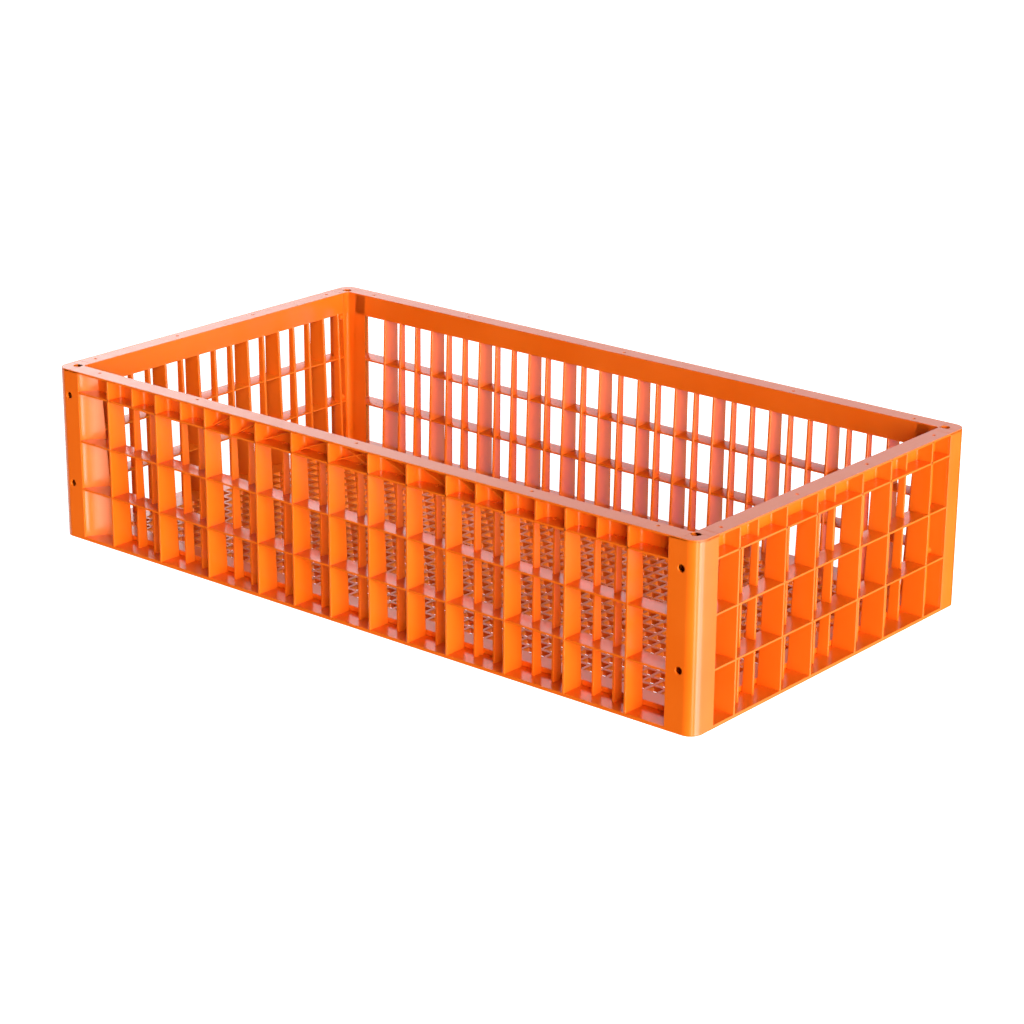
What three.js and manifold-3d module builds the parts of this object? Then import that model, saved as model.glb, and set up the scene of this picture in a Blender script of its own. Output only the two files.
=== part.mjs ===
// Open poultry transport crate of moulded plastic, in millimetres.
// X runs along the long side, Y across, Z up. The origin is at the centre of the underside.
// Two long panels carry the rounded corner posts, two end panels are screwed between them,
// and a floor grid drops in and lies on the ledges at the walls' feet.
import * as THREE from 'three';
import { mergeVertices } from 'three/addons/utils/BufferGeometryUtils.js';
import Module from 'manifold-3d';

const wasm = await Module();
wasm.setup();

// overall size
const crateLength = 1120;
const crateWidth = 600;
const crateHeight = 250;
const cornerRadius = 17.5;
const halfLength = crateLength / 2;
const halfWidth = crateWidth / 2;
const cornerSigns = [[1, 1], [-1, 1], [-1, -1], [1, -1]];

// wall section: the inner face leans, so a wall is thin at the rim and thick at its foot
const rimWidth = 27;
const footWidth = 35;
const rimThickness = 3;
const baseThickness = 4.7;
const ribThickness = 3;
const levelThickness = 2.8;
const levelHeights = [76.5, 147.5, 219];
const bandTop = crateHeight - rimThickness;
const bandBottom = levelHeights[2] + levelThickness / 2;
const bandPocketDepth = 24;
const slatThickness = 4;
const slatSetback = 18;

// floor and the ledge that carries it
const ledgeWidth = 12;
const ledgeThickness = 4.7;
const floorThickness = 6;
const floorGap = 0.3;
const floorBorder = 26;
const floorPitch = 60;
const floorBarWidth = 18;

// corner posts
const postFaceWidth = 45;
const postEndWidth = 41;
const skinThickness = 3;
const innerSkinThickness = 2.5;
const postFilletRadius = 15;
const seamGap = 0.3;
const endWebThickness = 3;
// depths in from the outer face at which the post's own web starts and ends
const postWebEnd = postEndWidth - endWebThickness - seamGap;
const postWebStart = postWebEnd - skinThickness;

// holes and screws
const cornerHoleRadius = 6.5;
const cornerHoleInset = [20.5, 21];
const rimHoleRadius = 2.2;
const sideRimHoles = [-488, -294, 0, 294, 488];
const sideRimHoleInset = 17;
const endRimHoles = [-238, -78, 78, 238];
const endRimHoleInset = 13;
const screwHoleRadius = 5;
const screwInset = 24.5;
const screwHeights = { lower: 82, upper: 212 };
const screwHeadRadius = 4.4;
const screwHeadHeight = 3;
const screwShankRadius = 2;
const screwPilotRadius = 2.3;
const screwLength = 27;
const screwPointLength = 3;
const socketRadius = 1.6;
const socketDepth = 1.6;
const seatDepth = 20;
const seatRadius = 8;
const bossRadius = 5;
const bossLength = 8;

// how far joined pieces run into each other, and how far a cutter runs past a face
const overlap = 1;
const runOut = 5;

// full-depth ribs and half-depth slats of each wall, from the middle outwards
const sideRibs = [35, 101.5, 168, 264, 360, 456];
const sideSlats = [0, 68, 135, 200, 232, 296, 328, 392, 424];
const endRibs = [51, 117, 215.5];
const endSlats = [17, 84, 149.5, 182.5, 248.5];
// short ribs that stiffen only the top band
const sideBandRibs = [216, 312, 408];
const sideBandRibSetback = 1.5;
const endBandRibs = [0, 166.25];
const endBandRibSetback = 8;
// diagonal ribs in the middle of the long wall's top band
const braceSpans = [[35, 101.5], [101.5, 168], [168, 216], [216, 264]];
const braceSetback = 14;
const braceThickness = 2.2;

const plastic = { color: 0xf26a1b, roughness: 0.35, metalness: 0 };
const screwSteel = { color: 0x55585c, roughness: 0.4, metalness: 0.9 };

function toSolid(geometry) {
  const bare = geometry.index ? geometry : geometry.clone();
  bare.deleteAttribute('normal');
  bare.deleteAttribute('uv');
  const merged = mergeVertices(bare, 1e-4);
  const vertProperties = new Float32Array(merged.attributes.position.array);
  const triVerts = new Uint32Array(merged.index.array);
  return new wasm.Manifold(new wasm.Mesh({ numProp: 3, vertProperties, triVerts }));
}

function toGeometry(solid) {
  const mesh = solid.getMesh();
  const geometry = new THREE.BufferGeometry();
  geometry.setAttribute('position', new THREE.BufferAttribute(new Float32Array(mesh.vertProperties), 3));
  geometry.setIndex(new THREE.BufferAttribute(new Uint32Array(mesh.triVerts), 1));
  geometry.computeVertexNormals();
  return geometry;
}

// a box given by its two corners
function boxBetween(low, high) {
  const size = low.map((value, axis) => high[axis] - value);
  const geometry = new THREE.BoxGeometry(...size);
  geometry.translate(...low.map((value, axis) => value + size[axis] / 2));
  return toSolid(geometry);
}

// an outline in plan, carried up from one height to another
function planPrism(outline, bottom, top, curveSegments) {
  const depth = top - bottom;
  const geometry = new THREE.ExtrudeGeometry(outline, { depth, bevelEnabled: false, curveSegments });
  geometry.translate(0, 0, bottom);
  return geometry;
}

// a round bar or hole along X (axis 0), Y (axis 1) or Z (axis 2)
function roundBar(radius, from, to, axis, sides) {
  const geometry = new THREE.CylinderGeometry(radius, radius, to[axis] - from[axis], sides);
  if (axis === 0) geometry.rotateZ(Math.PI / 2);
  if (axis === 2) geometry.rotateX(Math.PI / 2);
  geometry.translate(...from.map((value, i) => (value + to[i]) / 2));
  return toSolid(geometry);
}

function joinAll(solids) {
  return solids.reduce((whole, solid) => whole.add(solid));
}

function cutAll(solid, cutters) {
  return cutters.length ? solid.subtract(joinAll(cutters)) : solid;
}

// the inside of the crate: a block that narrows towards the floor; growth makes it wider on every side
function cavityGeometry(growth) {
  const slope = (footWidth - rimWidth) / crateHeight;
  const corners = (inset, z) => cornerSigns.map(([sx, sy]) => (
    [sx * (halfLength - inset + growth), sy * (halfWidth - inset + growth), z]));
  const top = corners(rimWidth - slope * runOut, crateHeight + runOut);
  const bottom = corners(footWidth, 0);
  const positions = [...bottom, ...top].flat();
  const faces = [0, 2, 1, 0, 3, 2, 4, 5, 6, 4, 6, 7];
  for (let side = 0; side < 4; side += 1) {
    const next = (side + 1) % 4;
    faces.push(side, next, next + 4, side, next + 4, side + 4);
  }
  const geometry = new THREE.BufferGeometry();
  geometry.setAttribute('position', new THREE.BufferAttribute(new Float32Array(positions), 3));
  geometry.setIndex(faces);
  return geometry;
}

// the crate's outline in plan, with rounded corners
function cratePlan() {
  const x = halfLength;
  const y = halfWidth;
  const r = cornerRadius;
  const outline = new THREE.Shape();
  outline.moveTo(-x + r, -y);
  outline.lineTo(x - r, -y);
  outline.absarc(x - r, -y + r, r, -Math.PI / 2, 0, false);
  outline.lineTo(x, y - r);
  outline.absarc(x - r, y - r, r, 0, Math.PI / 2, false);
  outline.lineTo(-x + r, y);
  outline.absarc(-x + r, y - r, r, Math.PI / 2, Math.PI, false);
  outline.lineTo(-x, -y + r);
  outline.absarc(-x + r, -y + r, r, Math.PI, Math.PI * 1.5, false);
  return outline;
}

// places on one side of the middle, repeated on the other side
function bothSides(places) {
  return places.flatMap((place) => (place === 0 ? [0] : [-place, place])).sort((a, b) => a - b);
}

// heights of the open rows between the base, the level ribs and the top band
function rowSpans() {
  const half = levelThickness / 2;
  const bottoms = [baseThickness, levelHeights[0] + half, levelHeights[1] + half];
  const tops = levelHeights.map((level) => level - half);
  return bottoms.map((bottom, row) => [bottom, tops[row]]);
}

// Walls are made lying along X with the outer face on Y = 0 and the inside towards +Y.
// The gaps between a wall's full ribs, from its left edge to its right edge.
function ribCells(ribPlaces, edge) {
  const half = ribThickness / 2;
  const ribs = bothSides(ribPlaces);
  const starts = [-edge, ...ribs.map((rib) => rib + half)];
  const ends = [...ribs.map((rib) => rib - half), edge];
  return starts.map((start, index) => [start, ends[index]]);
}

// what is cut away between the ribs: the open windows, and the pockets of the top band
function latticeCutters(cells, besidePosts) {
  const cutters = [];
  cells.forEach(([start, end], index) => {
    const atPost = besidePosts && (index === 0 || index === cells.length - 1);
    rowSpans().forEach(([bottom, top]) => {
      if (atPost) cutters.push(toSolid(planPrism(postWindow(start, end, index === 0), bottom, top, 5)));
      else cutters.push(boxBetween([start, -overlap, bottom], [end, footWidth + runOut, top]));
    });
    cutters.push(boxBetween([start, -overlap, bandBottom], [end, bandPocketDepth, bandTop]));
  });
  return cutters;
}

// The window beside a post: its post side runs straight in, then sweeps in a quarter round.
function postWindow(start, end, postAtStart) {
  const sign = postAtStart ? 1 : -1;
  const post = postAtStart ? start : end;
  const rib = postAtStart ? end : start;
  const through = footWidth + runOut;
  const sweepCentre = post + sign * postFilletRadius;
  const outline = new THREE.Shape();
  outline.moveTo(rib, -overlap);
  outline.lineTo(rib, through);
  outline.lineTo(sweepCentre, through);
  outline.lineTo(sweepCentre, slatSetback + postFilletRadius);
  const straightEnd = postAtStart ? Math.PI : 0;
  outline.absarc(sweepCentre, slatSetback, postFilletRadius, Math.PI / 2, straightEnd, !postAtStart);
  outline.lineTo(post, -overlap);
  return outline;
}

// the bars behind the full ribs, from the base to the band; the cavity trims their inner edge
function slatBars(places) {
  const half = slatThickness / 2;
  const bottom = baseThickness - overlap;
  const top = bandBottom - overlap;
  return bothSides(places).map((place) => (
    boxBetween([place - half, slatSetback, bottom], [place + half, footWidth + overlap, top])));
}

function bandRibs(places, setback) {
  const half = ribThickness / 2;
  const back = bandPocketDepth + overlap;
  return bothSides(places).map((place) => (
    boxBetween([place - half, setback, bandBottom - overlap], [place + half, back, bandTop + overlap])));
}

// a thin rib from the foot of one upright to the head of the next
function braceRib(startX, startZ, endX, endZ) {
  const run = new THREE.Vector2(endX - startX, endZ - startZ);
  const back = bandPocketDepth + overlap;
  const shape = new THREE.BoxGeometry(run.length() + 2 * overlap, back - braceSetback, braceThickness);
  shape.rotateY(-run.angle());
  shape.translate((startX + endX) / 2, (braceSetback + back) / 2, (startZ + endZ) / 2);
  return toSolid(shape);
}

function braceRibs() {
  const ribs = [];
  braceSpans.forEach(([inner, outer]) => {
    ribs.push(braceRib(inner, bandTop, outer, bandBottom));
    ribs.push(braceRib(-inner, bandTop, -outer, bandBottom));
  });
  const middle = sideRibs[0];
  ribs.push(braceRib(-middle, bandBottom, middle, bandTop));
  ribs.push(braceRib(-middle, bandTop, middle, bandBottom));
  return ribs;
}

// The hollow of the post at one end of a long wall, seen in plan. Side is 1 at +X and -1 at -X.
function postHollowPlan(side) {
  const t = skinThickness;
  const end = halfLength;
  const sweep = postFilletRadius + t;
  const sweepAngle = Math.asin((postWebStart - slatSetback) / sweep);
  const sweepX = end - postFaceWidth - postFilletRadius;
  const outline = new THREE.Shape();
  outline.moveTo(end - postFaceWidth + t, t);
  outline.lineTo(end - cornerRadius, t);
  outline.absarc(end - cornerRadius, cornerRadius, cornerRadius - t, -Math.PI / 2, 0, false);
  outline.lineTo(end - t, postWebStart);
  outline.lineTo(sweepX + sweep * Math.cos(sweepAngle), postWebStart);
  outline.absarc(sweepX, slatSetback, sweep, sweepAngle, 0, true);
  return new THREE.Shape(outline.getPoints(5).map((point) => new THREE.Vector2(side * point.x, point.y)));
}

// What is cut out of a post: its hollow, less the skin towards the crate's inside and the screw seats.
function postHollowCutter(side) {
  const prism = toSolid(planPrism(postHollowPlan(side), -overlap, bandTop, 1));
  const skin = toSolid(cavityGeometry(innerSkinThickness).translate(0, halfWidth, 0));
  const x = side * (halfLength - screwInset);
  const seats = Object.values(screwHeights).map((z) => (
    roundBar(seatRadius, [x, seatDepth, z], [x, postWebEnd, z], 1, 20)));
  return cutAll(prism, [skin, ...seats]);
}

// holes in a wall's rim: an open socket over each post, and small holes along its length
function rimHoles(smallPlaces, smallInset, socketPlace, socketInset) {
  const drill = (x, depth, radius, sides) => (
    roundBar(radius, [x, depth, bandTop - overlap], [x, depth, crateHeight + overlap], 2, sides));
  const sockets = [-socketPlace, socketPlace].map((x) => drill(x, socketInset, cornerHoleRadius, 20));
  return [...sockets, ...smallPlaces.map((x) => drill(x, smallInset, rimHoleRadius, 8))];
}

// a box across both ends of a wall, given by its reach from the wall's middle
function boxAtBothEnds(innerReach, outerReach, near, far, bottom, top) {
  return [
    boxBetween([-outerReach, near, bottom], [-innerReach, far, top]),
    boxBetween([innerReach, near, bottom], [outerReach, far, top]),
  ];
}

// A long wall with both corner posts.
function sidePanelSolid() {
  const postFace = halfLength - postFaceWidth;
  const postEdge = halfLength - postEndWidth;
  const slab = boxBetween([-halfLength, 0, 0], [halfLength, postWebEnd, crateHeight]);
  const lips = boxAtBothEnds(halfLength - skinThickness, halfLength, postWebEnd - overlap, postEndWidth,
    0, crateHeight);
  const rimEnds = boxAtBothEnds(halfLength - footWidth, halfLength, postWebEnd - overlap, postEndWidth,
    bandTop, crateHeight);
  const screwHoles = [-1, 1].flatMap((side) => Object.values(screwHeights).flatMap((z) => {
    const x = side * (halfLength - screwInset);
    return [
      roundBar(screwHoleRadius, [x, -overlap, z], [x, skinThickness + overlap, z], 1, 20),
      roundBar(screwPilotRadius, [x, seatDepth - overlap, z], [x, postEndWidth, z], 1, 12),
    ];
  }));
  const cells = ribCells(sideRibs, postFace);
  const opened = cutAll(joinAll([slab, ...lips, ...rimEnds]),
    [...latticeCutters(cells, true), postHollowCutter(-1), postHollowCutter(1), ...screwHoles]);
  const ribbed = joinAll([opened, ...slatBars(sideSlats), ...bandRibs(sideBandRibs, sideBandRibSetback),
    ...braceRibs()]);
  const outside = planPrism(cratePlan(), 0, crateHeight, 6).translate(0, halfWidth, 0);
  const inside = cavityGeometry(0).translate(0, halfWidth, 0);
  const holes = rimHoles(sideRimHoles, sideRimHoleInset, halfLength - cornerHoleInset[0], cornerHoleInset[1]);
  const shaped = cutAll(ribbed.intersect(toSolid(outside)), [toSolid(inside), ...holes]);
  const ledge = boxBetween([-postEdge, footWidth - overlap, 0],
    [postEdge, footWidth + ledgeWidth, ledgeThickness]);
  return shaped.add(ledge);
}

// An end wall, whose two webs close the corner posts.
function endPanelSolid() {
  const halfSpan = halfWidth - postEndWidth - seamGap;
  const windowEdge = halfWidth - postEndWidth;
  const webSpan = windowEdge + endWebThickness;
  const body = boxBetween([-halfSpan, 0, 0], [halfSpan, footWidth, crateHeight]);
  const webs = boxAtBothEnds(windowEdge, webSpan, skinThickness + seamGap, footWidth,
    0, bandTop - seamGap);
  const barsBehindWebs = (radius, near, far) => [-1, 1].flatMap((side) => (
    Object.values(screwHeights).map((z) => {
      const [from, to] = [side * near, side * far].sort((a, b) => a - b);
      return roundBar(radius, [from, screwInset, z], [to, screwInset, z], 0, 12);
    })));
  const bosses = barsBehindWebs(bossRadius, windowEdge - bossLength, windowEdge + overlap);
  const pilots = barsBehindWebs(screwPilotRadius, windowEdge - bossLength + overlap, webSpan + overlap);
  const opened = cutAll(body, latticeCutters(ribCells(endRibs, windowEdge), false));
  const ribbed = joinAll([opened, ...webs, ...slatBars(endSlats),
    ...bandRibs(endBandRibs, endBandRibSetback), ...bosses]);
  const inside = cavityGeometry(0).translate(halfLength, 0, 0).rotateZ(Math.PI / 2);
  const holes = rimHoles(endRimHoles, endRimHoleInset, halfWidth - cornerHoleInset[1], cornerHoleInset[0]);
  const shaped = cutAll(ribbed, [...pilots, toSolid(inside), ...holes]);
  const ledgeSpan = halfWidth - footWidth - ledgeWidth - seamGap;
  const ledge = boxBetween([-ledgeSpan, footWidth - overlap, 0],
    [ledgeSpan, footWidth + ledgeWidth, ledgeThickness]);
  return shaped.add(ledge);
}

function floorSolid() {
  const wallInset = footWidth + floorGap;
  const halfX = halfLength - wallInset;
  const halfY = halfWidth - wallInset;
  const bottom = ledgeThickness + floorGap;
  const top = bottom + floorThickness;
  const plate = boxBetween([-halfX, -halfY, bottom], [halfX, halfY, top]);
  const holesAcross = (half) => Math.floor((2 * (half - floorBorder) + floorBarWidth) / floorPitch);
  const place = (index, count) => (index - (count - 1) / 2) * floorPitch;
  const countX = holesAcross(halfX);
  const countY = holesAcross(halfY);
  const reach = (floorPitch - floorBarWidth) / 2;
  const below = bottom - overlap;
  const above = top + overlap;
  const cutters = [];
  for (let i = 0; i < countX; i += 1) {
    for (let j = 0; j < countY; j += 1) {
      const x = place(i, countX);
      const y = place(j, countY);
      cutters.push(boxBetween([x - reach, y - reach, below], [x + reach, y + reach, above]));
    }
  }
  return cutAll(plate, cutters);
}

// A pan-head self-tapping screw with a hexagon socket, pointing along +Y from its head.
function screwSolid() {
  const tip = screwHeadHeight + screwLength;
  const profile = [[0, 0], [screwHeadRadius - 1, 0], [screwHeadRadius, 1], [screwHeadRadius, screwHeadHeight],
    [screwShankRadius, screwHeadHeight], [screwShankRadius, tip - screwPointLength], [0, tip]];
  const body = toSolid(new THREE.LatheGeometry(profile.map(([r, y]) => new THREE.Vector2(r, y)), 16));
  const hexagon = [0, 1, 2, 3, 4, 5].map((i) => new THREE.Vector2(
    socketRadius * Math.cos(i * Math.PI / 3),
    socketRadius * Math.sin(i * Math.PI / 3),
  ));
  const socket = planPrism(new THREE.Shape(hexagon), -overlap, socketDepth, 1).rotateX(-Math.PI / 2);
  return body.subtract(toSolid(socket));
}

const crate = new THREE.Group();

function addPiece(name, solid, finish, position, turn) {
  const mesh = new THREE.Mesh(toGeometry(solid), new THREE.MeshStandardMaterial(finish));
  mesh.name = name;
  mesh.position.set(...position);
  mesh.rotation.z = turn;
  crate.add(mesh);
}

const sidePanel = sidePanelSolid();
addPiece('front_side_panel', sidePanel, plastic, [0, -halfWidth, 0], 0);
addPiece('rear_side_panel', sidePanel, plastic, [0, halfWidth, 0], Math.PI);

const endPanel = endPanelSolid();
addPiece('left_end_panel', endPanel, plastic, [-halfLength, 0, 0], -Math.PI / 2);
addPiece('right_end_panel', endPanel, plastic, [halfLength, 0, 0], Math.PI / 2);

addPiece('floor_grid', floorSolid(), plastic, [0, 0, 0], 0);

// each screw's head bears on its seat inside the hollow post
const screw = screwSolid();
const screwHeadDepth = seatDepth - screwHeadHeight - seamGap;
[['front', -1, 0], ['rear', 1, Math.PI]].forEach(([side, sy, turn]) => {
  [['left', -1], ['right', 1]].forEach(([end, sx]) => {
    Object.entries(screwHeights).forEach(([level, z]) => {
      const place = [sx * (halfLength - screwInset), sy * (halfWidth - screwHeadDepth), z];
      addPiece(`corner_screw_${side}_${end}_${level}`, screw, screwSteel, place, turn);
    });
  });
});

export default crate;
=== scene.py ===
import bpy
import math
import numpy as np
from mathutils import Matrix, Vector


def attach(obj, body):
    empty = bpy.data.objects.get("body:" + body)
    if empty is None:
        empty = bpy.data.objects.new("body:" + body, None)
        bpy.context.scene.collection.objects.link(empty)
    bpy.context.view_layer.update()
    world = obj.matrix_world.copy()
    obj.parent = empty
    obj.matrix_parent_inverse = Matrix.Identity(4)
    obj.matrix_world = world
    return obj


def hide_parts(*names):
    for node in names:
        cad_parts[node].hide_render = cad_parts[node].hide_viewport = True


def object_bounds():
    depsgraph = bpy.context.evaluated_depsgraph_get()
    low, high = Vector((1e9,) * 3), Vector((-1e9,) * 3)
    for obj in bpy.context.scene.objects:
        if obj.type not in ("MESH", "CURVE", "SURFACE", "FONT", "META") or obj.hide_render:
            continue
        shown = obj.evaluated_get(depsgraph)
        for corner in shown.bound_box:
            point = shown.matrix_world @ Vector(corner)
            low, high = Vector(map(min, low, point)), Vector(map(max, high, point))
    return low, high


# Poultry transport crate: five plastic mouldings held together by eight screws.
# Shapes are worked out in millimetres in the crate's frame and turned into metres in addPiece.
# A wall is made along X with its outer face on Y = 0 and its depth along +Y, then turned into place.

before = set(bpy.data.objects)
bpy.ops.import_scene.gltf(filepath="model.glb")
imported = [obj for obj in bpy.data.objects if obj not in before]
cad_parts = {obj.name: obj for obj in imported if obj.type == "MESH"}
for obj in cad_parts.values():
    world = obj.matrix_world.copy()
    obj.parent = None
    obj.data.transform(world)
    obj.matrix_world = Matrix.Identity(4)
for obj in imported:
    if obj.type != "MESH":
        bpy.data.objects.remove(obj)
cadLow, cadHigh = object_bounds()
mm = 0.001

crate = {
    "length": (cadHigh.x - cadLow.x) / mm,
    "width": (cadHigh.y - cadLow.y) / mm,
    "height": (cadHigh.z - cadLow.z) / mm,
    "cornerRadius": 17.5,
}
halfLength = crate["length"] / 2
halfWidth = crate["width"] / 2
print("frame loaded:", [round(crate[side]) for side in ("length", "width", "height")])

# the section that all four walls share; depths are measured in from the outer face
wall = {
    "rimWidth": 27.0,          # depth of the wall at the top
    "footWidth": 35.0,         # and at the bottom, because the inner face leans
    "rimThickness": 3.0,
    "baseThickness": 4.7,
    "ledgeWidth": 12.0,
    "levels": (76.5, 147.5, 219.0),
    "levelThickness": 2.8,
    "levelSetback": 0.2,
    "levelShy": 0.5,           # how far the level ribs stay behind the inner face
    "bandBottom": 217.6,
    "uprightOuter": 3.0,       # thickness of a full upright at its outer edge
    "slatOuter": 3.2,
    "noseWidth": 4.6,          # width of the rounded inner edge
    "noseProud": 0.7,          # how far the nose stands out of the inner face
    "noseTip": 5.0,            # how far the nose runs up the band as a point
    "tipHeights": (0.0, 0.5, 1.0),     # stations of the point, as shares of noseTip
    "tipWidths": (1.0, 0.62, 0.12),    # its width there, as a share of noseWidth
    "tipProud": (1.0, 0.6, -0.6),      # and how proud it stands, as a share of noseProud
    "slatSetback": 18.5,
    "overlap": 1.0,            # how far one rib runs into the next
    "edgeRadius": 0.45,
}
underRim = crate["height"] - wall["overlap"]


def insetAt(z):
    # depth of the leaning inner face at height z: a straight line from foot to rim
    lean = (wall["rimWidth"] - wall["footWidth"]) / crate["height"]
    return wall["footWidth"] + lean * np.asarray(z, float)


def bothSides(places):
    return sorted({side * place for place in places for side in (-1, 1)})


def outward(points, quads):
    # the volume that the quads enclose is a sum of triple products of their corners: if it comes
    # out negative, every quad is turned round
    a, b, c, d = (points[quads[:, i]] for i in range(4))
    volume = np.einsum("ij,ij->i", a, np.cross(b, c) + np.cross(c, d)).sum()
    return (points, quads) if volume > 0 else (points, quads[:, ::-1])


def loft(rings):
    # rings is stations by points by 3: point i of one ring joins point i of the next, and each end
    # is closed by a strip of quads from point i to its opposite number
    rings = np.asarray(rings, float)
    stations, count = rings.shape[:2]
    column = np.arange(count)
    nextColumn = (column + 1) % count
    row = np.arange(stations - 1)[:, None] * count
    sides = np.stack([row + column, row + nextColumn, row + nextColumn + count, row + column + count], -1)
    half = np.arange(count // 2 - 1)
    cap = np.stack([half, count - 1 - half, count - 2 - half, half + 1], -1)
    farCap = cap[:, ::-1] + (stations - 1) * count
    quads = np.concatenate([sides.reshape(-1, 4), cap, farCap])
    return outward(rings.reshape(-1, 3), quads)


def arc(centre, radius, start, end, count):
    # centre plus radius times cosine and sine of evenly spaced angles, in degrees
    angle = np.radians(np.linspace(start, end, count))
    return np.stack([centre[0] + radius * np.cos(angle), centre[1] + radius * np.sin(angle)], -1)


def alongX(profile, start, end):
    # a profile in depth and height, carried unchanged from one place along the wall to another
    profile = np.asarray(profile, float)
    rings = np.empty((2, len(profile), 3))
    rings[:, :, 0] = np.array([start, end])[:, None]
    rings[:, :, 1:] = profile
    return loft(rings)


def block(low, high):
    # a plain bar between its lowest and highest corners
    profile = [(low[1], low[2]), (low[1], high[2]), (high[1], high[2]), (high[1], low[2])]
    return alongX(profile, low[0], high[0])


def upward(plans, heights):
    # one plan outline for each height, stacked into a loft
    plans = np.asarray(plans, float)
    z = np.broadcast_to(np.asarray(heights, float)[:, None, None], (*plans.shape[:2], 1))
    return loft(np.concatenate([plans, z], 2))


def tube(centre, inner, outer, low, high):
    # a pipe standing on end: a rectangle of inner and outer radius, carried round a full circle
    angle = np.radians(np.arange(0, 360, 15))[:, None]
    radius = np.array([inner, outer, outer, inner])
    height = np.broadcast_to([low, low, high, high], (len(angle), 4))
    points = np.stack([centre[0] + radius * np.cos(angle), centre[1] + radius * np.sin(angle), height], -1)
    index = np.arange(points.shape[0] * 4).reshape(-1, 4)
    nextAngle, nextCorner = np.roll(index, -1, axis=0), np.roll(index, -1, axis=1)
    quads = np.stack([index, nextCorner, np.roll(nextCorner, -1, axis=0), nextAngle], -1)
    return outward(points.reshape(-1, 3), quads.reshape(-1, 4))


def sheet(uBreaks, vBreaks, holes):
    # a flat net of quads over a rectangle; a hole (u, v, radius, reach) takes out the cells that lie
    # within reach of its centre, and a ring of quads joins the edge they leave to the circle
    divisions = 8
    for u, v, radius, reach in holes:
        steps = np.linspace(-reach, reach, divisions + 1)
        uBreaks = [*uBreaks, *(u + steps)]
        vBreaks = [*vBreaks, *(v + steps)]
    us = np.unique(np.round(uBreaks, 4))
    vs = np.unique(np.round(vBreaks, 4))
    points = np.stack(np.meshgrid(us, vs, indexing="ij"), -1).reshape(-1, 2)
    columns, rows = np.meshgrid(np.arange(len(us) - 1), np.arange(len(vs) - 1), indexing="ij")
    i, j = columns.ravel(), rows.ravel()
    quads = np.stack([i, i + 1, i + 1, i], -1) * len(vs) + np.stack([j, j, j + 1, j + 1], -1)
    middle = points[quads].mean(1)
    keep = np.ones(len(quads), bool)
    rings = []
    for u, v, radius, reach in holes:
        inside = (abs(middle[:, 0] - u) < reach) & (abs(middle[:, 1] - v) < reach)
        keep &= ~inside
        edge = np.unique(quads[inside])
        edge = edge[np.abs(points[edge] - (u, v)).max(1) > reach * 0.999]
        angle = np.arctan2(points[edge, 1] - v, points[edge, 0] - u)
        order = np.argsort(angle)
        edge, angle = edge[order], angle[order]
        circle = len(points) + np.arange(len(edge))
        rim = np.stack([u + radius * np.cos(angle), v + radius * np.sin(angle)], -1)
        points = np.concatenate([points, rim])
        rings.append(np.stack([circle, edge, np.roll(edge, -1), np.roll(circle, -1)], -1))
    return points, np.concatenate([quads[keep], *rings])


def thicken(flat, quads, surfaceAt, thickness):
    # surfaceAt(uv, depth) is the front at depth 0 and the back at the full thickness; an edge that
    # belongs to one quad only gets a wall from front to back
    front, back = surfaceAt(flat, 0.0), surfaceAt(flat, thickness)
    edges = np.stack([quads, np.roll(quads, -1, axis=1)], -1).reshape(-1, 2)
    _, first, count = np.unique(np.sort(edges, axis=1), axis=0, return_index=True, return_counts=True)
    rim = edges[first[count == 1]]
    total = len(flat)
    walls = np.stack([rim[:, 1], rim[:, 0], rim[:, 0] + total, rim[:, 1] + total], -1)
    return outward(np.concatenate([front, back]), np.concatenate([quads, quads[:, ::-1] + total, walls]))


def turned(shell, quarterTurns, x, y):
    # quarter turns about Z, written with whole cosines and sines, and then a shift
    points, quads = shell
    cosine, sine = ((1, 0), (0, 1), (-1, 0), (0, -1))[quarterTurns % 4]
    placed = np.column_stack([points[:, 0] * cosine - points[:, 1] * sine + x,
                              points[:, 0] * sine + points[:, 1] * cosine + y, points[:, 2]])
    return placed, quads


def mirrored(shell):
    # the other end of the wall: x changes sign, and each quad is turned round to face out again
    points, quads = shell
    return points * (-1, 1, 1), quads[:, ::-1]


finish = {
    "sharpAngle": 32,          # degrees between faces from which an edge shades as sharp
    "bevelAngle": 40,          # and from which it is rounded off
    "bevelSegments": 2,
}


def addPiece(name, shells, material, nodes, bevel):
    starts = np.cumsum([0] + [len(points) for points, _ in shells[:-1]])
    points = np.concatenate([points for points, _ in shells]) * mm
    quads = np.concatenate([quads + start for (_, quads), start in zip(shells, starts)])
    mesh = bpy.data.meshes.new(name)
    mesh.from_pydata(points.tolist(), [], quads.tolist())
    mesh.polygons.foreach_set("use_smooth", np.ones(len(quads), bool))
    mesh.set_sharp_from_angle(angle=math.radians(finish["sharpAngle"]))
    mesh.materials.append(material)
    piece = bpy.data.objects.new(name, mesh)
    bpy.context.scene.collection.objects.link(piece)
    edge = piece.modifiers.new("edges", "BEVEL")
    edge.width = bevel * mm
    edge.segments = finish["bevelSegments"]
    edge.limit_method = "ANGLE"
    edge.angle_limit = math.radians(finish["bevelAngle"])
    edge.use_clamp_overlap = False
    edge.harden_normals = True
    edge.miter_outer = "MITER_SHARP"
    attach(piece, "root")
    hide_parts(*nodes)
    print("made", name, len(quads), "quads")


def newMaterial(name):
    material = bpy.data.materials.new(name)
    material.use_nodes = True
    tree = material.node_tree
    place = tree.nodes.new("ShaderNodeTexCoord").outputs["Object"]
    return material, tree, tree.nodes["Principled BSDF"], place


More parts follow.
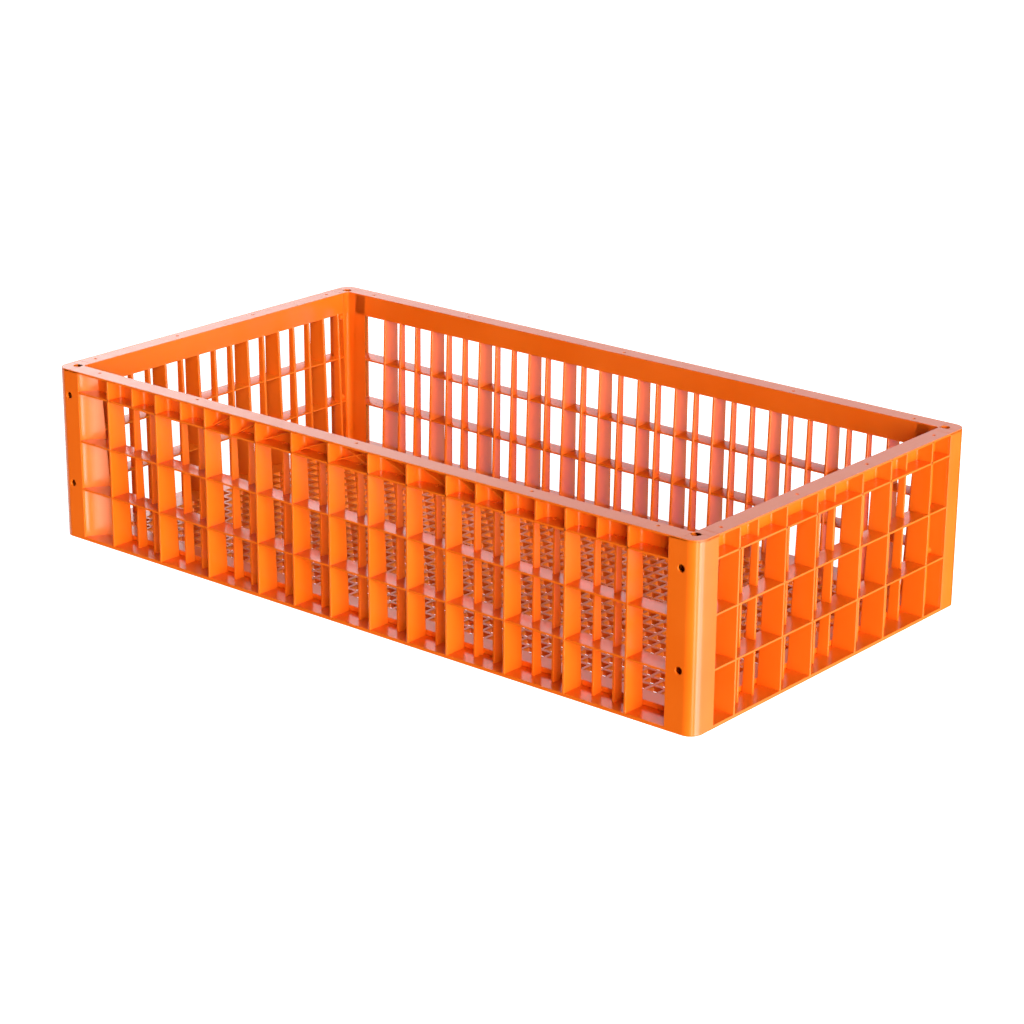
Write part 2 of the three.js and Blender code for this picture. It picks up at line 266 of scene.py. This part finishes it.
def noise(tree, place, scale, detail=3.0, stretch=None):
    # stretch draws the pattern out along the axes where it is less than 1
    if stretch:
        mapping = tree.nodes.new("ShaderNodeMapping")
        mapping.inputs["Scale"].default_value = stretch
        tree.links.new(place, mapping.inputs["Vector"])
        place = mapping.outputs["Vector"]
    node = tree.nodes.new("ShaderNodeTexNoise")
    node.inputs["Scale"].default_value = scale
    node.inputs["Detail"].default_value = detail
    tree.links.new(place, node.inputs["Vector"])
    return node.outputs["Fac"]


def ramp(tree, value, low, high, fromColour, toColour):
    node = tree.nodes.new("ShaderNodeValToRGB")
    node.color_ramp.elements[0].position = low
    node.color_ramp.elements[1].position = high
    node.color_ramp.elements[0].color = (*fromColour, 1)
    node.color_ramp.elements[1].color = (*toColour, 1)
    tree.links.new(value, node.inputs["Fac"])
    return node.outputs["Color"]


def spread(tree, value, low, high):
    node = tree.nodes.new("ShaderNodeMapRange")
    node.inputs["From Min"].default_value = 0.3
    node.inputs["From Max"].default_value = 0.7
    node.inputs["To Min"].default_value = low
    node.inputs["To Max"].default_value = high
    tree.links.new(value, node.inputs["Value"])
    return node.outputs["Result"]


def bump(tree, shader, height, strength, distance):
    node = tree.nodes.new("ShaderNodeBump")
    node.inputs["Strength"].default_value = strength
    node.inputs["Distance"].default_value = distance
    tree.links.new(height, node.inputs["Height"])
    tree.links.new(node.outputs["Normal"], shader.inputs["Normal"])


plasticLook = {
    "colour": (0.82, 0.128, 0.006),
    "paler": (0.87, 0.155, 0.012),
    "cloudScale": 7.0,
    "roughness": (0.17, 0.26),
    "drawnScale": 60.0,        # faint marks drawn upwards, the way the mould opens
    "drawnStretch": (1.0, 1.0, 0.06),
    "grainScale": 520.0,
    "grainStrength": 0.05,
    "grainDepth": 0.0003,
    "ior": 1.5,
}


def orangePlastic():
    look = plasticLook
    material, tree, shader, place = newMaterial("orangeMouldedPlastic")
    cloudy = noise(tree, place, look["cloudScale"])
    tree.links.new(ramp(tree, cloudy, 0.35, 0.7, look["colour"], look["paler"]), shader.inputs["Base Color"])
    drawn = noise(tree, place, look["drawnScale"], 4.0, look["drawnStretch"])
    tree.links.new(spread(tree, drawn, *look["roughness"]), shader.inputs["Roughness"])
    bump(tree, shader, noise(tree, place, look["grainScale"], 2.0), look["grainStrength"], look["grainDepth"])
    shader.inputs["IOR"].default_value = look["ior"]
    return material


plastic = orangePlastic()


def upright(place, outer, outerWidth):
    # plan section: two straight sides that widen inwards and a half round nose. It is carried up from
    # the base, its nose follows the leaning inner face, and over the last stretch it thins to a point
    bottom = wall["baseThickness"] - wall["overlap"]
    shoulder = wall["bandBottom"] - wall["overlap"]
    heights = np.array([bottom, *(shoulder + wall["noseTip"] * np.array(wall["tipHeights"]))])
    width = np.array([1.0, *wall["tipWidths"]])
    proud = np.array([1.0, *wall["tipProud"]])
    radius = wall["noseWidth"] / 2 * width
    reach = insetAt(heights) + wall["noseProud"] * proud
    turn = np.radians(np.linspace(180, 0, 8))
    plans = np.empty((len(heights), len(turn) + 2, 2))
    plans[:, 0, 0], plans[:, -1, 0] = -outerWidth / 2, outerWidth / 2
    plans[:, (0, -1), 1] = outer
    plans[:, 1:-1, 0] = radius[:, None] * np.cos(turn)
    plans[:, 1:-1, 1] = (reach - radius)[:, None] + radius[:, None] * np.sin(turn)
    plans[:, :, 0] += place
    return upward(plans, heights)


def levelRib(height, start, end):
    # section: a flat bar with a half round inner edge just behind the noses
    half = wall["levelThickness"] / 2
    inner = insetAt(height) - wall["levelShy"] - half
    nose = arc((inner, height), half, 90, -90, 6)
    outer = wall["levelSetback"]
    return alongX([(outer, height + half), *nose, (outer, height - half)], start, end)


def bandWall(depth, start, end):
    # the solid strip below the rim, from its upright outer side to the leaning inner face
    low, high = wall["bandBottom"], underRim
    return alongX([(depth, low), (insetAt(low), low), (insetAt(high), high), (depth, high)], start, end)


def bandRib(place, setback, depth):
    half = wall["uprightOuter"] / 2
    low = wall["levels"][2] - wall["overlap"]
    return block((place - half, setback, low), (place + half, depth + wall["overlap"], underRim))


def bandFillet(place, side, radius, depth):
    # a hollow quarter round between a rib's side and the band: the curve in front, and behind it the
    # two straight lines that meet a little inside the rib and the band
    face = place + side * wall["uprightOuter"] / 2
    curve = arc((face + side * radius, depth - radius), radius, 90, 90 + side * 90, 9)
    into = wall["overlap"] / 2
    corner = np.array([face - side * into, depth + into])
    back = np.concatenate([np.linspace(curve[0] + (0, into), corner, 5)[:-1],
                           np.linspace(corner, curve[-1] - (side * into, 0), 5)])
    plan = np.concatenate([curve, back[::-1]])
    return upward([plan, plan], (wall["levels"][2], underRim))


def windowShells(pattern, edge):
    # what both kinds of wall have in common, between the places -edge and edge along the wall
    depth = pattern["bandDepth"]
    fullRibs, shortRibs = bothSides(pattern["ribs"]), bothSides(pattern["bandRibs"])
    shells = [upright(place, 0.0, wall["uprightOuter"]) for place in fullRibs]
    slats = bothSides(pattern["slats"])
    shells += [upright(place, wall["slatSetback"], wall["slatOuter"]) for place in slats]
    shells += [levelRib(height, -edge, edge) for height in wall["levels"]]
    shells += [bandRib(place, 0.0, depth) for place in fullRibs]
    shells += [bandRib(place, pattern["bandRibSetback"], depth) for place in shortRibs]
    shells += [bandFillet(place, side, pattern["bandFillet"], depth)
               for place in [*fullRibs, *shortRibs] for side in (-1, 1)]
    shells.append(bandWall(depth, -edge, edge))
    foot = wall["footWidth"] + wall["ledgeWidth"]
    shells.append(block((-edge, 0.0, 0.0), (edge, foot, wall["baseThickness"])))
    return shells


def rimPlaneAt(flat, depth):
    return np.column_stack([flat, np.full(len(flat), crate["height"] - depth)])


def rimStrip(edge, holePlaces, holeInset):
    # the flat top of a wall between -edge and edge, with its row of small screw holes
    radius, margin = 2.2, 1.8
    holes = [(place, holeInset, radius, radius + margin) for place in bothSides(holePlaces)]
    flat, quads = sheet([-edge, edge], [0.0, wall["rimWidth"]], holes)
    return thicken(flat, quads, rimPlaneAt, wall["rimThickness"])


# the hollow corner posts are part of the long walls; these are the places of the one at +X
post = {
    "faceWidth": 44.0,         # on the long face
    "endWidth": 41.0,          # on the end face
    "skin": 3.0,
    "innerSkin": 2.5,
    "seam": 3.3,               # from the end web's face to the end wall's first upright
    "windowStart": 2.5,        # depth where the window side leaves the long face's edge
    "windowReach": 25.0,       # how far the window side has run out by the time it is at the foot's depth
    "windowCurve": 1.25,
    "filletAtFoot": 8.5,       # inside corner towards the birds, getting tighter towards the rim
    "filletAtRim": 4.0,
    "screwInset": 24.5,
    "screwHeights": (82.0, 212.0),
    "screwHoleRadius": 5.0,
    "socketRadius": 6.5,
    "socketWall": 1.8,
    "socketStep": 0.3,         # the socket is a little wider than the hole in the rim
    "socketDepth": 40.0,
    "socketInset": (20.5, 22.5),
    "archBottom": 202.0,       # the shallow recess in the inside corner ends in a quarter arch
    "archTop": 217.0,
    "archDepth": 1.4,
}
windowEdge = halfLength - post["faceWidth"]
endWeb = post["endWidth"] - post["seam"]


def skinAt(flat, depth):
    # u runs along the outline in plan, v is the height. The long face comes first, then the rounded
    # corner as an arc of the corner radius, then the end face; depth moves a point in from the surface
    radius = crate["cornerRadius"]
    u, z = flat[:, 0], flat[:, 1]
    faceEnd = halfLength - radius - windowEdge
    bendEnd = faceEnd + radius * math.pi / 2
    face = np.stack([windowEdge + u, np.full_like(u, depth)], -1)
    angle = (u - faceEnd) / radius - math.pi / 2
    inner = radius - depth
    bend = np.stack([halfLength - radius + inner * np.cos(angle), radius + inner * np.sin(angle)], -1)
    end = np.stack([np.full_like(u, halfLength - depth), radius + (u - bendEnd)], -1)
    plan = np.select([(u < faceEnd)[:, None], (u < bendEnd)[:, None]], [face, bend], end)
    return np.column_stack([plan, z])


def postSkin():
    radius = crate["cornerRadius"]
    faceEnd = halfLength - radius - windowEdge
    bendEnd = faceEnd + radius * math.pi / 2
    margin = 1.6
    screwPlace = post["faceWidth"] - post["screwInset"]
    holes = [(screwPlace, z, post["screwHoleRadius"], post["screwHoleRadius"] + margin)
             for z in post["screwHeights"]]
    bend = np.linspace(faceEnd, bendEnd, 17)
    flat, quads = sheet([0.0, *bend, bendEnd + post["endWidth"] - radius], [0, underRim], holes)
    return thicken(flat, quads, skinAt, post["skin"])


def postWindowSide():
    # in plan the side runs out over the window by a power of its depth, until it meets the leaning
    # inner face; behind it lies a straight line inside the post
    heights = np.linspace(0, underRim, 20)
    start = post["windowStart"]
    hairline = 0.05            # keeps its first edge just inside the long face's edge
    depth = start + np.linspace(0, 1, 16) * (insetAt(heights)[:, None] - start)
    runOut = post["windowReach"] * ((depth - start) / (wall["footWidth"] - start)) ** post["windowCurve"]
    front = np.stack([windowEdge + hairline - runOut, depth], -1)
    back = front.copy()
    back[:, :, 0] = windowEdge + post["skin"]
    return upward(np.concatenate([front, back[:, ::-1]], 1), heights)


def insideCorner():
    # the post's skin towards the birds: an L in plan whose inside corner is an arc, and the same L
    # again one skin further out
    heights = (0.0, underRim)
    plans = []
    for z, radius in zip(heights, (post["filletAtFoot"], post["filletAtRim"])):
        inner = float(insetAt(z))
        recessed = halfLength - inner + post["archDepth"]
        centre = (recessed - radius, inner + radius)
        outlines = []
        for grow in (0.0, post["innerSkin"]):
            bend = arc(centre, radius + grow, -90, 0, 9)
            outlines.append([(windowEdge + 1.0, inner - grow), *bend, (recessed + grow, endWeb)])
        plans.append([*outlines[0], *outlines[1][::-1]])
    return upward(plans, heights)


def cornerArch():
    # a thin plate over the corner skin up to the rim; its lower edge is a quarter ellipse
    low, high = post["archBottom"], post["archTop"]
    share = np.linspace(0, 1, 10)
    y = endWeb - (endWeb - float(insetAt(high))) * share
    bottom = low + (high - low) * np.sqrt(1 - (1 - share) ** 2)
    thickness = post["archDepth"] + wall["overlap"] / 2
    rings = np.empty((len(share), 4, 3))
    rings[:, :, 1] = y[:, None]
    rings[:, :2, 2] = bottom[:, None]
    rings[:, 2:, 2] = underRim
    rings[:, :, 0] = halfLength - insetAt(rings[:, :, 2]) + np.array([0, thickness, thickness, 0])
    return loft(rings)


def rimCorner():
    # the rim over a post: every point of its outline is joined to the point of the round socket that
    # lies in the same direction
    width, radius = wall["rimWidth"], crate["cornerRadius"]
    near = halfLength - width
    hole = np.array([halfLength - post["socketInset"][0], post["socketInset"][1]])
    steps = np.linspace(0, 1, 9)[:-1, None]
    inward = (near, 0.0) + steps * (0.0, width)
    lower = (near, width) + steps * (width, 0.0)
    right = (halfLength, width) + steps * (0.0, radius - width)
    bend = arc((halfLength - radius, radius), radius, 0, -90, 17)[:-1]
    upper = (halfLength - radius, 0.0) + steps * (near - halfLength + radius, 0.0)
    edge = np.concatenate([inward, lower, right, bend, upper])
    angle = np.arctan2(edge[:, 1] - hole[1], edge[:, 0] - hole[0])
    circle = hole + post["socketRadius"] * np.stack([np.cos(angle), np.sin(angle)], -1)
    count = len(edge)
    i = np.arange(count)
    ring = np.stack([i, (i + 1) % count, (i + 1) % count + count, i + count], -1)
    return thicken(np.concatenate([edge, circle]), ring, rimPlaneAt, wall["rimThickness"])


def rimFillet():
    # the rounded inside corner of the rim: an arc in front and the square corner behind
    width, radius = wall["rimWidth"], post["filletAtRim"]
    near = halfLength - width
    curve = arc((near - radius, width + radius), radius, -90, 0, 7)
    corner = np.array([near + wall["overlap"], width - wall["overlap"]])
    back = np.concatenate([np.linspace(curve[0] - (0, wall["overlap"]), corner, 4)[:-1],
                           np.linspace(corner, curve[-1] + (wall["overlap"], 0), 4)])
    plan = np.concatenate([curve, back[::-1]])
    hairline = 0.02            # keeps this top just under the rim's
    heights = (crate["height"] - wall["rimThickness"], crate["height"] - hairline)
    return upward([plan, plan], heights)


def postShells():
    rimEnd = halfLength - wall["rimWidth"]
    foot = wall["footWidth"]
    socketCentre = (halfLength - post["socketInset"][0], post["socketInset"][1])
    socketTop = crate["height"] - wall["rimThickness"] / 2
    socketInner = post["socketRadius"] + post["socketStep"]
    return [
        postSkin(), postWindowSide(), insideCorner(), cornerArch(), rimCorner(), rimFillet(),
        tube(socketCentre, socketInner, socketInner + post["socketWall"],
             socketTop - post["socketDepth"], socketTop),
        block((rimEnd, wall["rimWidth"], crate["height"] - wall["rimThickness"]),
              (halfLength, post["endWidth"], crate["height"])),
        block((rimEnd - wall["overlap"], endWeb - post["skin"], 0.0),
              (halfLength - wall["overlap"], endWeb, underRim)),
        block((windowEdge, foot - wall["overlap"], 0.0),
              (halfLength - foot, foot + wall["ledgeWidth"], wall["baseThickness"])),
    ]


sideWall = {
    "ribs": (35, 101.5, 168, 264, 360, 456),
    "slats": (0, 68, 135, 200, 232, 296, 328, 392, 424),
    "bandRibs": (216, 312, 408),
    "bandRibSetback": 1.5,
    "bandDepth": 24.3,
    "bandFillet": 8.0,
    "braces": ((35, 101.5), (101.5, 168), (168, 216), (216, 264)),
    "braceSetback": 14.0,
    "braceThickness": 2.1,
    "rimHoles": (0, 294, 488),
    "rimHoleInset": 17.0,
}


def brace(start, end, setback):
    # a flat bar on the slant: its four corners lie half its thickness to either side of the line
    # between two points (along, height), and are carried from one end of that line to the other
    start, end = np.array(start, float), np.array(end, float)
    run = (end - start) / np.linalg.norm(end - start)
    across = np.array([-run[1], run[0]]) * sideWall["braceThickness"] / 2
    inner = sideWall["bandDepth"] + wall["overlap"]
    rings = np.empty((2, 4, 3))
    rings[:, :, (0, 2)] = np.array([start - run, end + run])[:, None] + [across, across, -across, -across]
    rings[:, :, 1] = (setback, inner, inner, setback)
    return loft(rings)


def braces():
    # one slants down and outwards in each cell, and two cross in the middle cell
    low, high = wall["levels"][2] + wall["overlap"], crate["height"] - wall["rimThickness"]
    setback, middle = sideWall["braceSetback"], sideWall["ribs"][0]
    shells = [brace((side * inner, high), (side * outer, low), setback)
              for inner, outer in sideWall["braces"] for side in (-1, 1)]
    crossingStep = 0.4
    shells.append(brace((-middle, low), (middle, high), setback))
    shells.append(brace((-middle, high), (middle, low), setback + crossingStep))
    return shells


def sidePanel():
    corner = postShells()
    shells = windowShells(sideWall, windowEdge + wall["overlap"]) + braces()
    shells.append(rimStrip(halfLength - wall["rimWidth"], sideWall["rimHoles"], sideWall["rimHoleInset"]))
    return shells + corner + [mirrored(shell) for shell in corner]


side = sidePanel()
addPiece("front_side_moulding", [turned(shell, 0, 0, -halfWidth) for shell in side], plastic,
         ["front_side_panel"], wall["edgeRadius"])
addPiece("rear_side_moulding", [turned(shell, 2, 0, halfWidth) for shell in side], plastic,
         ["rear_side_panel"], wall["edgeRadius"])


endWall = {
    "ribs": (51, 117, 215.5),
    "slats": (17, 84, 149.5, 182.5, 248.5),
    "bandRibs": (0, 166.25),
    "bandRibSetback": 8.0,
    "bandDepth": 22.5,
    "bandFillet": 2.5,
    "rimHoles": (78, 238),
    "rimHoleInset": 13.0,
    "webThickness": 3.0,
    "webSetback": 3.2,         # the web stays behind the post's skin
    "bossRadius": 5.0,
    "bossLength": 8.0,
}


def edgeWeb(edge, side):
    # the wall's upright edge against the post, from behind the post's skin to the leaning inner face
    inner, outer = side * edge, side * (edge + endWall["webThickness"])
    front = endWall["webSetback"]
    plans = [[(inner, front), (outer, front), (outer, insetAt(z)), (inner, insetAt(z))]
             for z in (0.0, underRim)]
    return upward(plans, (0.0, underRim))


def boss(edge, side, height):
    # a short round bar behind the edge web that the corner screw bites into
    ring = arc((post["screwInset"], height), endWall["bossRadius"], 0, 345, 24)
    near = side * (edge + wall["overlap"])
    return alongX(ring, near, near - side * endWall["bossLength"])


def endPanel():
    edge = halfWidth - post["endWidth"]
    shells = windowShells(endWall, edge)
    shells += [edgeWeb(edge, side) for side in (-1, 1)]
    shells += [boss(edge, side, z) for side in (-1, 1) for z in post["screwHeights"]]
    shells.append(rimStrip(edge, endWall["rimHoles"], endWall["rimHoleInset"]))
    return shells


end = endPanel()
addPiece("left_end_moulding", [turned(shell, 3, -halfLength, 0) for shell in end], plastic,
         ["left_end_panel"], wall["edgeRadius"])
addPiece("right_end_moulding", [turned(shell, 1, halfLength, 0) for shell in end], plastic,
         ["right_end_panel"], wall["edgeRadius"])


floor = {
    "pitch": 20.0,
    "bar": 6.0,
    "gap": 0.3,
    "border": 25.0,
    "thickness": 7.4,
    "edgeRadius": 0.9,
}


def floorNet():
    # a square net of bars inside a plain border: the breaks lie at both edges of every bar, and the
    # cells whose middle is a hole's middle in both directions are left out
    bottom = wall["baseThickness"] + floor["gap"]
    top = bottom + floor["thickness"]
    reaches = [half - wall["footWidth"] - floor["gap"] for half in (halfLength, halfWidth)]
    halfHole = (floor["pitch"] - floor["bar"]) / 2
    breaks, opens = [], []
    for reach in reaches:
        count = int((2 * (reach - floor["border"]) + floor["bar"]) // floor["pitch"])
        centres = (np.arange(count) - (count - 1) / 2) * floor["pitch"]
        places = np.unique(np.concatenate([[-reach, reach], centres - halfHole, centres + halfHole]))
        middles = (places[1:] + places[:-1]) / 2
        breaks.append(places)
        opens.append(np.abs(middles[:, None] - centres).min(1) < halfHole / 2)
    flat, quads = sheet(*breaks, [])
    quads = quads[~(opens[0][:, None] & opens[1]).ravel()]
    used, quads = np.unique(quads, return_inverse=True)
    return thicken(flat[used], quads.reshape(-1, 4),
                   lambda uv, depth: np.column_stack([uv, np.full(len(uv), top - depth)]), floor["thickness"])


addPiece("floor_mesh", [floorNet()], plastic, ["floor_grid"], floor["edgeRadius"])


steelLook = {
    "dark": (0.16, 0.16, 0.17),
    "bright": (0.3, 0.3, 0.31),
    "spangleScale": 180.0,
    "roughness": (0.3, 0.5),
    "wearScale": 900.0,
}


def zincSteel():
    look = steelLook
    material, tree, shader, place = newMaterial("zincSteel")
    spangle = noise(tree, place, look["spangleScale"])
    tree.links.new(ramp(tree, spangle, 0.3, 0.7, look["dark"], look["bright"]), shader.inputs["Base Color"])
    wear = noise(tree, place, look["wearScale"])
    tree.links.new(spread(tree, wear, *look["roughness"]), shader.inputs["Roughness"])
    shader.inputs["Metallic"].default_value = 1.0
    return material


steel = zincSteel()
for node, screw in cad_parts.items():
    if node.startswith("corner_screw"):
        screw.data.materials.clear()
        screw.data.materials.append(steel)
print("screws finished")


# softboxes of the light dome: azimuth from -Y towards +X and elevation of the middle, half width and
# half height, all in degrees, then brightness and colour
studio = {
    "floorSize": 14.0,
    "backdrop": 1.0,           # what the camera sees behind the crate
    "edgeBlur": 12.0,          # degrees over which a softbox fades out
    "turn": 130.0,             # azimuth that the dome's angles are measured from, opposite its dark side
    "softboxes": {
        "key": (57, 11, 14, 16, 10.0, (1.05, 1.0, 0.68)),
        "lowRight": (92, -22, 14, 14, 3.0, (0.75, 1.4, 2.0)),
        "right": (92, 14, 12, 14, 2.8, (0.7, 1.6, 1.5)),
        "rearRight": (125, -5, 14, 24, 0.6, (0.9, 1.2, 2.6)),
        "stripNear": (52, -19, 0, 4, 7.0, (1.0, 0.9, 0.75)),
        "stripFar": (80, -19, 0, 4, 5.0, (1.0, 0.9, 0.75)),
        "rear": (213, 17, 18, 10, 1.3, (1.3, 1.0, 1.02)),
        "rearLeft": (258, 4, 28, 24, 1.6, (1.0, 0.98, 0.95)),
        "ambient": (130, 20, 180, 60, 0.02, (1.0, 0.9, 1.0)),
    },
}


def calculate(tree, operation, first, second):
    node = tree.nodes.new("ShaderNodeMath")
    node.operation = operation
    for socket, value in zip(node.inputs, (first, second)):
        if isinstance(value, (int, float)):
            socket.default_value = value
        else:
            tree.links.new(value, socket)
    return node.outputs["Value"]


def within(tree, angle, middle, half):
    # 1 inside the softbox's half width and 0 beyond its blurred edge
    away = calculate(tree, "ABSOLUTE", calculate(tree, "SUBTRACT", angle, middle), 0.0)
    node = tree.nodes.new("ShaderNodeMapRange")
    node.interpolation_type = "SMOOTHSTEP"
    node.inputs["From Min"].default_value = half
    node.inputs["From Max"].default_value = half + studio["edgeBlur"]
    node.inputs["To Min"].default_value = 1.0
    node.inputs["To Max"].default_value = 0.0
    tree.links.new(away, node.inputs["Value"])
    return node.outputs["Result"]


def lightDome():
    # the azimuth is the arc tangent of the turned direction's x and y, the elevation the arc sine of
    # its z; each softbox is a product of two bands and they are added up
    world = bpy.data.worlds.new("lightDome")
    world.use_nodes = True
    tree = world.node_tree
    background = tree.nodes["Background"]
    direction = tree.nodes.new("ShaderNodeTexCoord").outputs["Generated"]
    turn = tree.nodes.new("ShaderNodeVectorRotate")
    turn.rotation_type = "Z_AXIS"
    turn.inputs["Angle"].default_value = math.radians(90 - studio["turn"])
    tree.links.new(direction, turn.inputs["Vector"])
    parts = tree.nodes.new("ShaderNodeSeparateXYZ")
    tree.links.new(turn.outputs["Vector"], parts.inputs["Vector"])
    bearing = calculate(tree, "ARCTAN2", parts.outputs["Y"], parts.outputs["X"])
    azimuth = calculate(tree, "DEGREES", bearing, 0.0)
    elevation = calculate(tree, "DEGREES", calculate(tree, "ARCSINE", parts.outputs["Z"], 0.0), 0.0)
    total = None
    for middle, height, halfWide, halfHigh, brightness, colour in studio["softboxes"].values():
        share = calculate(tree, "MULTIPLY", within(tree, azimuth, middle - studio["turn"], halfWide),
                      within(tree, elevation, height, halfHigh))
        scale = tree.nodes.new("ShaderNodeVectorMath")
        scale.operation = "SCALE"
        scale.inputs["Vector"].default_value = [channel * brightness for channel in colour]
        tree.links.new(share, scale.inputs["Scale"])
        if total is None:
            total = scale.outputs["Vector"]
        else:
            add = tree.nodes.new("ShaderNodeVectorMath")
            tree.links.new(total, add.inputs[0])
            tree.links.new(scale.outputs["Vector"], add.inputs[1])
            total = add.outputs["Vector"]
    plain = tree.nodes.new("ShaderNodeMix")
    plain.data_type = "RGBA"
    plain.inputs["B"].default_value = (studio["backdrop"],) * 3 + (1,)
    rays = tree.nodes.new("ShaderNodeLightPath")
    tree.links.new(rays.outputs["Is Camera Ray"], plain.inputs["Factor"])
    tree.links.new(total, plain.inputs["A"])
    tree.links.new(plain.outputs["Result"], background.inputs["Color"])
    bpy.context.scene.world = world


def studioFloor():
    # a plain pale floor that glows as bright as the backdrop, so that no horizon shows
    size = studio["floorSize"] / 2
    mesh = bpy.data.meshes.new("studioFloor")
    corners = [(-size, -size, 0), (size, -size, 0), (size, size, 0), (-size, size, 0)]
    mesh.from_pydata(corners, [], [(0, 1, 2, 3)])
    ground = bpy.data.objects.new("studio_floor", mesh)
    bpy.context.scene.collection.objects.link(ground)
    material, tree, shader, place = newMaterial("paleFloor")
    shader.inputs["Base Color"].default_value = (0.8, 0.8, 0.8, 1)
    shader.inputs["Roughness"].default_value = 0.9
    shader.inputs["Emission Color"].default_value = (1, 1, 1, 1)
    shader.inputs["Emission Strength"].default_value = studio["backdrop"]
    mesh.materials.append(material)
    ground.visible_diffuse = False
    ground.visible_glossy = False
    ground.visible_shadow = False


view = {
    "lens": 98.03,
    "sensor": 36.0,
    "place": (2.34716, -2.79319, 1.35254),
    "azimuth": 39.713,         # degrees from -Y towards +X, as seen from the crate
    "elevation": 19.209,
    "roll": 0.398,
}


def camera():
    # a camera starts out looking down -Z: the elevation tips it up about X, the azimuth turns it
    # about Z, and the roll about its own line of sight comes first
    lens = bpy.data.cameras.new("camera")
    lens.lens = view["lens"]
    lens.sensor_width = view["sensor"]
    eye = bpy.data.objects.new("camera", lens)
    swing = Matrix.Rotation(math.radians(view["azimuth"]), 4, "Z")
    tip = Matrix.Rotation(math.radians(90 - view["elevation"]), 4, "X")
    roll = Matrix.Rotation(math.radians(view["roll"]), 4, "Z")
    eye.matrix_world = Matrix.Translation(view["place"]) @ swing @ tip @ roll
    bpy.context.scene.collection.objects.link(eye)
    bpy.context.scene.camera = eye


lightDome()
studioFloor()
camera()
bpy.context.scene.view_settings.view_transform = "Standard"
print("studio ready")
